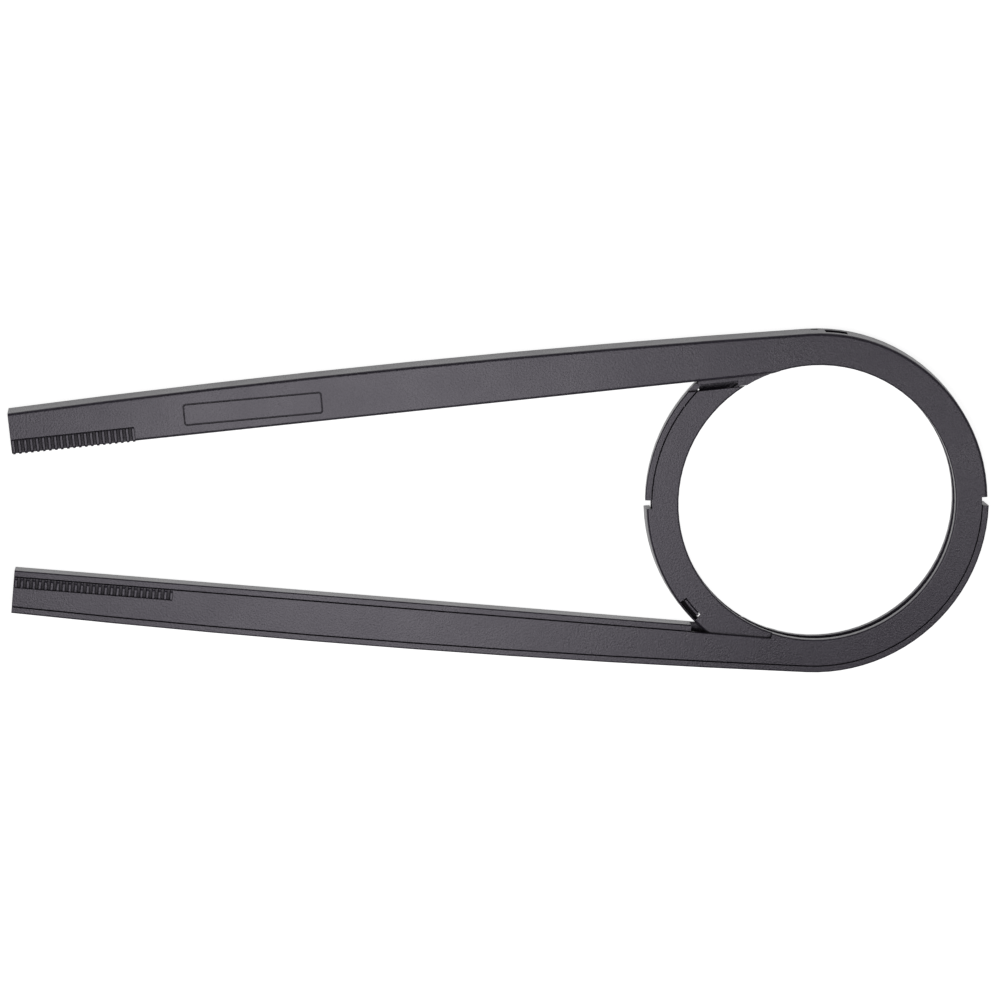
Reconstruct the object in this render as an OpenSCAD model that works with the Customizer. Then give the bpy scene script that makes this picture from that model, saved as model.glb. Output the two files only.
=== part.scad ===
// Chain guard, front section of an enclosed chain case.
// Two like half shells, turned half a revolution about the X axis, close
// round the chain: each one is a channel on one arm and a cover on the other.
// The one on the crank side also has the outlined panel and racks of teeth.
// Origin: centre of the chainring opening, halfway through the depth.
// X runs from the arms to the ring, Y across the arms, Z out to the crank.

/* [Ring] */
// Radius of the opening for the chainring
hole_r = 72.5; // [65:0.5:80]
// Width of the ring, from the opening to the outside of the walls' open rims
ring_w = 17.5; // [15.5:0.5:21]
// Depth of the closed guard, across the chain
depth = 16; // [15:0.5:22]
// Depth of the lip round the opening, measured from the face
lip_h = 4.5; // [4.2:0.1:6]
// Thickness of the lip round the opening
lip_t = 1.6; // [1.3:0.1:2.2]
// Rounding of the opening's edge
hole_edge_r = 1; // [0.4:0.1:1.3]

/* [Arms] */
// Angle between the inner edge of an arm and the centre line
arm_angle = 5.45; // [4.5:0.05:6.5]
// How far the line of an arm's inner edge cuts into the round opening
arm_inset = 2.2; // [1.5:0.1:3]
// Length of an arm, from the ring's centre line to its end
arm_len = 412.8; // [360:0.2:460]
// Radius of the slight bow of an arm's outer edge
bow_r = 6500; // [5500:50:9000]
// Slope of the outer edge where it leaves the ring
bow_start = 3.3; // [3:0.05:3.8]

/* [Walls] */
// Thickness of the faces and covers
face_t = 1.5; // [1.2:0.1:2]
// Thickness of the channel walls at their open rims
rim_w = 3.2; // [2.6:0.1:3.8]
// How far a channel wall leans outwards over its height
draft = 0.65; // [0.2:0.05:0.9]
// Gap of the seam between a cover and the walls beside it
seam = 0.5; // [0.3:0.05:0.8]
// Rounding of the channel's closed outer edges
edge_r = 1.5; // [0.8:0.1:1.8]
// Rounding of the open rims' outer edges
rim_round = 0.8; // [0.4:0.1:1.1]
// Depth of the skirt under a cover's edge, measured from the face
skirt_h = 4; // [3:0.1:6]
// Thickness of the skirt under a cover's edge
skirt_t = 1.2; // [0.9:0.1:1.6]

/* [Left segment] */
// Step down from the ring's face to the segment that closes it on the left
seg_drop = 2; // [1.7:0.1:2.4]
// Length of the openings between the walls at both sides of the ring
notch_w = 4.6; // [3:0.2:7]
// Distance from the arm's edge line to the segment's free end
end_gap = 5.3; // [4.5:0.1:6.5]
// Width of the web along the arm's edge, beside the free end
web_w = 2; // [1.5:0.1:2.5]

/* [Latches] */
// Length of the latch slot in the left segment
slot_l = 12.6; // [10:0.2:15]
// Depth of the slot's pocket in the wall, measured from the face
slot_h = 4; // [3:0.1:5]
// Position of the slot's middle, in degrees from the centre line
slot_at = 40; // [37:0.5:41]
// Wall left outside the latch slot
slot_wall = 1.6; // [1.4:0.1:2]
// Thickness of the latch tongues
tongue_t = 1.1; // [0.9:0.05:1.4]
// Step back from the edge of a cover to the tongue under it
tongue_drop = 0.2; // [0.1:0.05:0.4]
// Clearance at each end of a latch tongue, and under its barb
tongue_gap = 0.8; // [0.5:0.1:1.2]
// How far the barb of a tongue stands out
barb_w = 1.2; // [0.9:0.1:1.5]
// Length of the barb, from its catch to the tongue's end
barb_h = 2.8; // [2:0.1:3]
// Length of the window in the ring's wall, for the other shell's tongue
window_l = 11.8; // [9:0.2:14]
// Height of the window
window_h = 7; // [5:0.5:8]
// Strip of the wall left between the window and the open rim
window_up = 5; // [4.5:0.1:6]
// Position of the window's middle, in degrees from the centre line
window_at = 83.6; // [78:0.2:84]
// Length of the oval hole beside the window
oval_l = 4.2; // [3:0.1:6]
// Width of the oval hole
oval_w = 2; // [1.5:0.1:3]
// Height of the oval hole's middle above the open rim
oval_up = 4; // [3:0.1:6]
// Position of the oval hole, in degrees from the centre line
oval_at = 90.6; // [89:0.1:92]

/* [Racks] */
// Distance from tooth to tooth
tooth_pitch = 3.1; // [2.8:0.05:3.5]
// Width of a tooth
tooth_w = 1.2; // [1:0.1:1.9]
// Height of a tooth above the face
tooth_h = 0.7; // [0.5:0.1:1.2]
// How far a tooth stands out over the arm's edge
tooth_out = 0.4; // [0.2:0.05:0.8]
// Depth of the valleys between the teeth, under the face
valley_d = 0.8; // [0.4:0.1:1]
// Length of the teeth on the channel, from the arm's edge
channel_tooth_l = 7.4; // [5:0.1:9]
// Length of the teeth on the cover, from the seam
cover_tooth_l = 5.4; // [4:0.1:7]
// Number of teeth on the channel
channel_teeth = 21; // [10:1:30]
// Number of teeth on the cover
cover_teeth = 27; // [10:1:36]
// Distance from the arm's end to the first tooth's middle
tooth_start = 1.2; // [0.9:0.1:3]

/* [Panel] */
// Length of the plain outlined panel
panel_l = 71.8; // [50:0.5:90]
// Width of the plain outlined panel
panel_w = 11.2; // [8:0.2:13]
// Distance from the panel's middle to the arm's end
panel_at = 125.8; // [110:0.5:180]
// Distance from the panel's middle to the arm's inner edge
panel_up = 10.4; // [9:0.1:13]
// Slope of the panel, measured from the centre line
panel_slope = 4.65; // [4:0.05:5.5]
// Width of the outline's groove
groove_w = 0.6; // [0.4:0.1:1]
// Depth of the outline's groove
groove_d = 0.4; // [0.2:0.05:0.6]
// Corner rounding of the outline
panel_r = 1.5; // [0.8:0.1:3]

/* [Hidden] */
$fn = 240;
bow_fn = 3600;
small_fn = 48;
arc_steps = 6;
eps = 0.01;
// How far pieces that end at an angle round the ring lap over each other
lap_a = 0.5;
// How far pieces that end beside each other lap over each other
lap = 1;
// Step from the tip of the raised face back to where the cover's step ends
tip_step = 1;

half = depth / 2;
ring_r = hole_r + ring_w;
arm_offset = hole_r - arm_inset;
big = 3 * (arm_len + ring_r);
seg_z = half - seg_drop;
cover_in = rim_w + seam;
cover_r = ring_r - cover_in;
core_r = cover_r - skirt_t - edge_r;
// Strip of the face that is made with each wall, skirt or step
strip = 3 * edge_r + rim_w;
ring_strip = ring_r - core_r + edge_r;
arm_w = bow_r - (bow_r - ring_r) * cos(arm_angle - bow_start) - arm_offset;
bow_sweep = (arm_len + ring_r / 2) / bow_r * 180 / PI;
ring_end = 90 + bow_start;
notch_a = asin(notch_w / 2 / ring_r);
// Lines parallel to an arm's inner edge, by their distance from the centre
rim_line = arm_offset - draft;
cover_line = rim_line + cover_in;
end_line = arm_offset - end_gap;
web_line = arm_offset - web_w;
hook_line = end_line + seam;
// Where these lines and the ring's own circles meet, along the arm
inner_end = -sqrt(pow(ring_r, 2) - pow(arm_offset, 2)) - rim_w;
tip_x = -sqrt(pow(hole_r, 2) - pow(arm_offset, 2));
step_end = tip_x + 2 * edge_r + lip_t;
hook_x = -sqrt(pow(hole_r + lip_t, 2) - pow(end_line, 2));
// And by their angle round the ring
end_a = 180 + arm_angle - asin(end_line / hole_r);
tip_a = 90 + arm_angle + acos(arm_offset / hole_r);
cover_tip_a = tip_a - tip_step;
// Under an open rim: clear of the other shell's web, and its latch tongues
web_clear = seg_z - face_t - seam;
tongue_r = cover_r - tongue_drop;

// Points of a round corner with centre c and radius r, from a0 to a1 degrees
function arc(c, r, a0, a1) =
    [for (i = [0 : arc_steps]) let (a = a0 + (a1 - a0) * i / arc_steps) c + r * [cos(a), sin(a)]];

// Outer line of a channel wall, from its open rim up over the rounded edge
function wall_line(r, top) = concat(
    arc([r - rim_round, -top + rim_round], rim_round, -90, 0),
    arc([r - draft - edge_r, top - edge_r], edge_r, 0, 90));

// Line of the lip round the opening, from inside the face out to its edge
function lip_line(top) = concat(
    [[hole_r + lip_t, top - face_t], [hole_r + lip_t, half - lip_h], [hole_r, half - lip_h]],
    arc([hole_r + hole_edge_r, top - hole_edge_r], hole_edge_r, 180, 90));

// Side of a channel: leaning wall and a strip w wide of the face
module channel_profile(r, w, top) {
    polygon(concat(
        [[r - w, top - face_t], [r - rim_w, top - face_t], [r - rim_w, -top]],
        wall_line(r, top),
        [[r - w, top]]));
}

// Edge of a cover: a strip w wide of its face with the skirt under its edge
module skirt_profile(r, w, top) {
    polygon([
        [r - w, top - face_t], [r - w, top], [r, top],
        [r, half - skirt_h], [r - skirt_t, half - skirt_h], [r - skirt_t, top - face_t]]);
}

// Edge of the raised face where it steps down to the left segment
module step_profile(r, w, round_r) {
    polygon(concat(
        [[r - w, half - face_t], [r - rim_w, half - face_t],
         [r - rim_w, seg_z - face_t], [r, seg_z - face_t]],
        arc([r - round_r, half - round_r], round_r, 0, 90),
        [[r - w, half]]));
}

// Lip round the opening, with the face as far out as radius r
module core_profile(r, top) {
    polygon(concat(lip_line(top), [[r, top], [r, top - face_t]]));
}

// Turns a profile round the ring's axis from a0 to a1 degrees
module turned(a0, a1) {
    rotate([0, 0, a0]) rotate_extrude(angle = a1 - a0) children();
}

// Place on the outer edge where the ring goes over into the bow of the arm
module at_ring_end() {
    rotate([0, 0, ring_end]) children();
}

// Turns a profile back round the ring from that place, to a degrees
module ring_edge(a) {
    at_ring_end() rotate_extrude(angle = a - ring_end) children();
}

// Turns a profile on from that place, along the bow of the arm
module bow_edge() {
    at_ring_end() translate([ring_r - bow_r, 0, 0])
        rotate_extrude(angle = bow_sweep, $fn = bow_fn) children();
}

// Frame of the upper arm: its inner edge is the line y = arm_offset
module on_arm() {
    rotate([0, 0, arm_angle]) children();
}

// Runs a profile along the upper arm, its edge at y = line, from x0 to x1
module along_arm(line, x0, x1) {
    on_arm() translate([x1, line, 0]) rotate([90, 0, -90]) linear_extrude(x1 - x0) children();
}

// Everything on the inner side of the line y = line
module inside_of(line) {
    on_arm() translate([-big, line - ring_r, -depth]) cube([2 * big, ring_r, 2 * depth]);
}

// Everything on the outer side of the line y = line
module outside_of(line) {
    on_arm() translate([-big, line, -depth]) cube([2 * big, ring_r, 2 * depth]);
}

// Everything past the arm's end
module past_end() {
    on_arm() translate([-arm_len - big, -big, -depth]) cube([big, 2 * big, 2 * depth]);
}

module opening(r) {
    translate([0, 0, -depth]) cylinder(h = 2 * depth, r = r);
}

// One tooth, its length along Y: over the arm's edge, or flat on a cover
module tooth(length, wraps) {
    top = half + tooth_h;
    under = half - valley_d - (face_t - valley_d) / 2;
    foot = wraps ? half - lip_h : under;
    out = wraps ? tooth_out : -seam / 2;
    translate([tooth_w / 2, 0, 0]) rotate([90, 0, -90]) linear_extrude(tooth_w)
        polygon(concat(
            [[out, foot]],
            arc([out - edge_r, top - edge_r], edge_r, 0, 90),
            arc([-length + tooth_h, top - tooth_h], tooth_h, 90, 180),
            [[-length, under], [-rim_w / 2, under], [-rim_w / 2, foot]]));
}

// Rack of teeth at the arm's end, its feet on the line y = line
module rack(line, count, length, wraps) {
    on_arm() for (i = [0 : count - 1])
        translate([-arm_len + tooth_start + i * tooth_pitch, line, 0]) tooth(length, wraps);
}

// Valleys that are left between the teeth of such a rack, under the face
module valleys(line, count, length) {
    on_arm() for (i = [0 : count - 2])
        translate([-arm_len + tooth_start + i * tooth_pitch + tooth_w / 2, line - edge_r, half - valley_d])
            cube([tooth_pitch - tooth_w, length + edge_r, depth]);
}

module panel_outline(length, width, r) {
    square([length - 2 * r, width], center = true);
    square([length, width - 2 * r], center = true);
    for (x = [-1, 1], y = [-1, 1])
        translate([x * (length / 2 - r), y * (width / 2 - r)]) circle(r, $fn = small_fn);
}

// Groove round the plain panel on the upper arm
module panel_groove() {
    on_arm() translate([-arm_len + panel_at, arm_offset + panel_up, half - groove_d])
        rotate([0, 0, panel_slope - arm_angle]) linear_extrude(half) difference() {
            panel_outline(panel_l, panel_w, panel_r);
            panel_outline(panel_l - 2 * groove_w, panel_w - 2 * groove_w, panel_r - groove_w);
        }
}

// Piece of a ring with the given length, its middle at the angle mid
module ring_piece(mid, length) {
    sweep = length / ring_r * 180 / PI;
    turned(mid - sweep / 2, mid + sweep / 2) children();
}

// Slot through the walled part of the left segment, with a pocket in its wall
module slot_cut() {
    inner = tongue_r - tongue_t - seam;
    ring_piece(180 - slot_at, slot_l) translate([inner, seg_z - slot_h])
        square([ring_r - slot_wall - inner, depth]);
}

// Tongue down from a cover's edge, its barb with the catch at z = catch
module latch_tongue(mid, length, top, catch) {
    ring_piece(mid, length) polygon([
        [tongue_r - tongue_t, top], [tongue_r, top], [tongue_r, catch],
        [tongue_r + barb_w, catch], [tongue_r, catch - barb_h],
        [tongue_r - tongue_t, catch - barb_h]]);
}

// Tongue of the free end, through the slot of the other shell
module slot_tongue() {
    latch_tongue(180 - slot_at, slot_l - 2 * tongue_gap, seg_z - tongue_drop,
        slot_h - seg_z - tongue_gap / 2);
}

// Tongue of the ring's cover, into the window of the other shell
module window_tongue() {
    latch_tongue(window_at, window_l - 2 * tongue_gap, half - tongue_drop,
        half - window_up - tongue_gap / 2);
}

// Window and oval hole in the ring's wall
module window_cut() {
    ring_piece(window_at, window_l) translate([ring_r - 2 * rim_w, window_up - half])
        square([3 * rim_w, window_h]);
    rotate([0, 0, oval_at]) translate([ring_r + rim_w, 0, oval_up - half]) rotate([0, -90, 0]) {
        for (y = [-1, 1]) translate([0, y * (oval_l - oval_w) / 2, 0])
            cylinder(h = 3 * rim_w, d = oval_w, $fn = small_fn);
        translate([-oval_w / 2, -(oval_l - oval_w) / 2, 0])
            cube([oval_w, oval_l - oval_w, 3 * rim_w]);
    }
}

// Turns a profile from the step where the raised face goes down to the left
// segment: on round the ring to a degrees, or back where a is less
module from_step(a) {
    rotate([0, 0, -cover_tip_a]) rotate_extrude(angle = a + cover_tip_a) children();
}

// Raised face with the lip round the opening, from one arm to the other
module raised_core() {
    from_step(tip_a) core_profile(core_r, half);
}

// Channel over the chain: the walls of the upper arm and of its half ring
module channel_side() {
    ring_edge(notch_a) channel_profile(ring_r, ring_strip, half);
    difference() {
        bow_edge() channel_profile(bow_r, arm_w, half);
        inside_of(arm_offset + 2 * edge_r);
        opening(hole_r + 2 * edge_r);
    }
    along_arm(rim_line, -arm_len - lap, inner_end) channel_profile(0, strip, half);
    difference() {
        along_arm(arm_offset, inner_end - lap, step_end) step_profile(0, strip, edge_r);
        opening(hole_r);
    }
    web();
}

// Recessed web along the arm's edge, with a hook that follows the opening
module web() {
    translate([0, 0, seg_z - face_t]) linear_extrude(face_t) web_outline();
    translate([0, 0, half - lip_h]) linear_extrude(lip_h - seg_drop - eps) intersection() {
        web_outline();
        circle(hole_r + lip_t);
    }
}

module web_outline() {
    difference() {
        rotate(arm_angle) polygon([
            [inner_end + rim_w, arm_offset + lap], [inner_end + rim_w, web_line],
            [hook_x, web_line], [hook_x, hook_line],
            [tip_x + lap, hook_line], [tip_x + lap, arm_offset + lap]]);
        circle(hole_r);
    }
}

// Cover inside the other shell's walls, made as for the upper arm
module cover_side() {
    ring_edge(-notch_a - lap_a) skirt_profile(cover_r, ring_strip, half);
    difference() {
        bow_edge() skirt_profile(bow_r - cover_in, arm_w - cover_in, half);
        inside_of(cover_line + 2 * edge_r);
        opening(hole_r + 2 * edge_r);
    }
    along_arm(cover_line, -arm_len - lap, inner_end + lap) skirt_profile(0, strip, half);
    along_arm(cover_line, inner_end, step_end) step_profile(0, strip, face_t / 3);
    window_tongue();
}

// Recessed left segment: a cover with a free end above, walled below
module segment() {
    difference() {
        union() {
            from_step(end_a - arm_angle - 360) core_profile(core_r, seg_z);
            turned(end_a - arm_angle, 180 + notch_a + lap_a)
                skirt_profile(cover_r, ring_strip - cover_in, seg_z);
            from_step(notch_a - 180) channel_profile(ring_r, ring_strip, seg_z);
            slot_tongue();
        }
        outside_of(end_line);
        mirror([0, 1, 0]) {
            outside_of(cover_line + lap);
            low_rim();
            slot_cut();
        }
    }
}

// Under the wall's open rim past the free end, where the web lies
module low_rim() {
    on_arm() translate([-big, end_line, -depth]) cube([big, ring_r, depth - web_clear]);
}

module half_shell(crank_side) {
    raised_core();
    difference() {
        channel_side();
        past_end();
        window_cut();
        if (crank_side) {
            panel_groove();
            valleys(arm_offset, channel_teeth, channel_tooth_l);
        }
    }
    if (crank_side) rack(arm_offset, channel_teeth, channel_tooth_l, true);
    mirror([0, 1, 0]) {
        difference() {
            cover_side();
            past_end();
            if (crank_side) valleys(cover_line, cover_teeth, cover_tooth_l);
        }
        if (crank_side) rack(cover_line, cover_teeth, cover_tooth_l, false);
    }
    segment();
}

// Half shell on the crank side
module outer_shell() {
    color([0.13, 0.125, 0.135]) half_shell(true);
}

// Half shell on the frame side
module inner_shell() {
    color([0.13, 0.125, 0.135]) rotate([180, 0, 0]) half_shell(false);
}

outer_shell();
inner_shell();
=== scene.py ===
"""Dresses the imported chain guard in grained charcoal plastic, on a white floor under soft light."""

import math

import bpy
from mathutils import Matrix, Vector


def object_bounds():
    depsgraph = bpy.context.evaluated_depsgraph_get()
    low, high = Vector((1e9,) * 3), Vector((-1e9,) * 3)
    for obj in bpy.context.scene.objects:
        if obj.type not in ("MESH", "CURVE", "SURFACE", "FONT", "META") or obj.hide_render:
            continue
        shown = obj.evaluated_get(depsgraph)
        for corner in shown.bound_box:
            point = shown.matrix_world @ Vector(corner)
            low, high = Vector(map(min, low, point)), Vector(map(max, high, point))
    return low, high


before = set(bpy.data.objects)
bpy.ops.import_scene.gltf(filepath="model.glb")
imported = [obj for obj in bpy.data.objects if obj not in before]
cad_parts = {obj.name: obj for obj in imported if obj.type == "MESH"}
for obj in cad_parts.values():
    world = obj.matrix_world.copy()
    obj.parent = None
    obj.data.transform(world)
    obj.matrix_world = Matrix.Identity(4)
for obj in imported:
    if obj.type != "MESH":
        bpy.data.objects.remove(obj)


def plain_box(corners):
    """Two corners as plain lists of numbers."""
    return [[float(v) for v in corner] for corner in corners]


cad_box = plain_box(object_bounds())

# Camera: its lens in pixels of the photograph, and how the guard's front plane lies in front of it
IMAGE_SIDE = 1000
FOCAL_PX = 4795.4
SENSOR_MM = 36.0
CLIP_END = 20
FRONT_Z = 0.008
GUARD_SHIFT = Vector((0.165553, -0.001754, -2.4991))
SPIN = 0.0033
TILT = 0.1642
SWING = 0.0534


def make_camera():
    """Camera that sees the guard as the photograph does: a long lens, 2.5 m away and tilted by 9 degrees."""
    data = bpy.data.cameras.new("camera")
    data.sensor_width = SENSOR_MM
    data.lens = FOCAL_PX / IMAGE_SIDE * SENSOR_MM
    data.clip_end = CLIP_END
    data.dof.use_dof = False
    camera = bpy.data.objects.new("camera", data)
    turn = Matrix.Rotation(SPIN, 3, "Z") @ Matrix.Rotation(TILT, 3, "X") @ Matrix.Rotation(SWING, 3, "Y")
    back = turn.transposed()
    place = Vector((0, 0, FRONT_Z)) - back @ GUARD_SHIFT
    camera.matrix_world = Matrix.Translation(place) @ back.to_4x4()
    bpy.context.scene.collection.objects.link(camera)
    bpy.context.scene.camera = camera


# Shader helpers
def node_tree(name):
    """New material with its nodes and links."""
    material = bpy.data.materials.new(name)
    material.use_nodes = True
    return material, material.node_tree.nodes, material.node_tree.links


def add_node(nodes, kind, **values):
    """Adds a shader node and sets its inputs or its own settings by name."""
    made = nodes.new(kind)
    for key, value in values.items():
        if key in made.inputs:
            made.inputs[key].default_value = value
        else:
            setattr(made, key, value)
    return made


def grey(level):
    return (level, level, level)


def ramp(nodes, links, source, stops):
    """Colour ramp over a source, with its two stops as (place, colour)."""
    made = nodes.new("ShaderNodeValToRGB")
    for element, (place, colour) in zip(made.color_ramp.elements, stops):
        element.position = place
        element.color = (*colour, 1)
    links.new(source, made.inputs["Fac"])
    return made.outputs["Color"]


def blend(nodes, links, kind, a, b):
    """Mixes two colours in full by a named kind, such as MULTIPLY."""
    mix = add_node(nodes, "ShaderNodeMix", data_type="RGBA", blend_type=kind)
    mix.inputs["Factor"].default_value = 1
    colours = [socket for socket in mix.inputs if socket.type == "RGBA"]
    links.new(a, colours[0])
    links.new(b, colours[1])
    return [socket for socket in mix.outputs if socket.type == "RGBA"][0]


# Charcoal plastic: features per metre and stops of its grain, of its clouds, and of the painted shade and
# dullness in its hollows and seams
SHINE = 0.65
SHINE_TINT = (0.96, 0.91, 1.0, 1)
GRAIN_SCALE = 1000
GRAIN_ROUGHNESS = 0.6
GRAIN_STRENGTH = 0.6
GRAIN_DEPTH = 0.0002
GRAIN_TONE = ((0.3, (0.025, 0.021, 0.031)), (0.7, (0.051, 0.044, 0.063)))
CLOUD_SCALE = 28
CLOUD_ROUGHNESS = 0.55
CLOUD_TONE = ((0.3, grey(0.86)), (0.7, grey(1.1)))
CLOUD_GLOSS = ((0.3, grey(0.25)), (0.7, grey(0.32)))
NOISE_DETAIL = 3
# Painted shade: the colour darkens and the surface dulls where ambient occlusion finds geometry within this
# reach, in hollows, seams, between the shells and next to the floor
CREVICE_REACH = 0.003
PAINTED_CREVICE_SHADE = ((0.33, grey(0.04)), (0.83, grey(1)))
CREVICE_GLOSS = ((0.38, grey(1)), (0.82, grey(0)))
EDGE_REACH = 0.0004
RAYS = 8


def grained_plastic():
    """Charcoal moulding with a fine eroded grain, cloudy in tone and gloss; painted shade darkens its
    hollows, seams and gaps, which are also duller.
    """
    material, nodes, links = node_tree("charcoal_grained_plastic")
    shader = nodes["Principled BSDF"]
    shader.inputs["Specular IOR Level"].default_value = SHINE
    shader.inputs["Specular Tint"].default_value = SHINE_TINT
    where = nodes.new("ShaderNodeTexCoord").outputs["Object"]

    def noise(scale, roughness):
        made = add_node(nodes, "ShaderNodeTexNoise", Scale=scale, Detail=NOISE_DETAIL, Roughness=roughness)
        links.new(where, made.inputs["Vector"])
        return made.outputs["Fac"]

    grain = noise(GRAIN_SCALE, GRAIN_ROUGHNESS)
    clouds = noise(CLOUD_SCALE, CLOUD_ROUGHNESS)
    # Ambient occlusion is the mask for the painted shade in hollows and seams
    shelter = add_node(nodes, "ShaderNodeAmbientOcclusion", Distance=CREVICE_REACH, samples=RAYS)
    painted_shade_mask = shelter.outputs["AO"]

    tone = blend(nodes, links, "MULTIPLY", ramp(nodes, links, grain, GRAIN_TONE),
                 ramp(nodes, links, clouds, CLOUD_TONE))
    # Painted shade: the colour is multiplied down in hollows and seams
    colour = blend(nodes, links, "MULTIPLY", tone, ramp(nodes, links, painted_shade_mask, PAINTED_CREVICE_SHADE))
    links.new(colour, shader.inputs["Base Color"])

    gloss = blend(nodes, links, "LIGHTEN", ramp(nodes, links, clouds, CLOUD_GLOSS),
                  ramp(nodes, links, painted_shade_mask, CREVICE_GLOSS))
    links.new(gloss, shader.inputs["Roughness"])

    edges = add_node(nodes, "ShaderNodeBevel", Radius=EDGE_REACH, samples=RAYS)
    bump = add_node(nodes, "ShaderNodeBump", Strength=GRAIN_STRENGTH, Distance=GRAIN_DEPTH)
    links.new(grain, bump.inputs["Height"])
    links.new(edges.outputs["Normal"], bump.inputs["Normal"])
    links.new(bump.outputs["Normal"], shader.inputs["Normal"])
    return material


# Floor: its side, how far below the guard it lies, its colour, and how it glows for each kind of ray
FLOOR_SIDE = 8.0
FLOOR_GAP = 0.0001
FLOOR_COLOUR = (*grey(0.86), 1)
GLOW = {"Is Camera Ray": 0.85, "Is Glossy Ray": 0.56, "Is Transmission Ray": 0.56}


def white_floor():
    """Pale matt floor that keeps the shadow, and glows white for camera, glossy and transmitted rays."""
    material, nodes, links = node_tree("white_floor")
    nodes.remove(nodes["Principled BSDF"])
    matt = add_node(nodes, "ShaderNodeBsdfDiffuse", Color=FLOOR_COLOUR)
    glow = add_node(nodes, "ShaderNodeEmission", Color=(1, 1, 1, 1))
    path = nodes.new("ShaderNodeLightPath")
    total = None
    for kind, level in GLOW.items():
        share = add_node(nodes, "ShaderNodeMath", operation="MULTIPLY_ADD")
        links.new(path.outputs[kind], share.inputs[0])
        share.inputs[1].default_value = level
        share.inputs[2].default_value = 0
        if total:
            links.new(total, share.inputs[2])
        total = share.outputs[0]
    links.new(total, glow.inputs["Strength"])
    both = nodes.new("ShaderNodeAddShader")
    links.new(matt.outputs[0], both.inputs[0])
    links.new(glow.outputs[0], both.inputs[1])
    links.new(both.outputs[0], nodes["Material Output"].inputs["Surface"])
    return material


def make_floor(z):
    """One square face at height z."""
    mesh = bpy.data.meshes.new("floor")
    h = FLOOR_SIDE / 2
    mesh.from_pydata([(-h, -h, z), (h, -h, z), (h, h, z), (-h, h, z)], [], [(0, 1, 2, 3)])
    mesh.materials.append(white_floor())
    floor = bpy.data.objects.new("floor", mesh)
    bpy.context.scene.collection.objects.link(floor)


# Light: the white world's level, and each soft box's middle, two sides, level and turn in degrees
WORLD_LEVEL = 0.12
SOFT_BOXES = {
    "overhead": {"place": (-0.24, -0.10, 0.82), "size": (0.48, 0.46), "level": 3.1, "turn": -25},
    "front": {"place": (0.24, -0.11, 0.82), "size": (0.10, 0.10), "level": 11.0, "turn": 0},
}


def make_world():
    """Even white light from all round."""
    world = bpy.data.worlds.new("studio")
    world.use_nodes = True
    shade = world.node_tree.nodes["Background"]
    shade.inputs["Color"].default_value = (1, 1, 1, 1)
    shade.inputs["Strength"].default_value = WORLD_LEVEL
    bpy.context.scene.world = world


def soft_box(name, place, size, level, turn):
    """Rectangular lamp that faces down, as bright as a surface of that level."""
    data = bpy.data.lights.new(name, "AREA")
    data.shape = "RECTANGLE"
    data.size, data.size_y = size
    data.energy = level * math.pi * size[0] * size[1]
    lamp = bpy.data.objects.new(name, data)
    lamp.location = place
    lamp.rotation_euler = (0, 0, math.radians(turn))
    bpy.context.scene.collection.objects.link(lamp)


make_camera()
make_floor(cad_box[0][2] - FLOOR_GAP)
make_world()
for name, values in SOFT_BOXES.items():
    soft_box(name, **values)

plastic = grained_plastic()
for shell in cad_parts.values():
    for slot in shell.material_slots:
        slot.material = plastic

bpy.context.scene.view_settings.view_transform = "Standard"
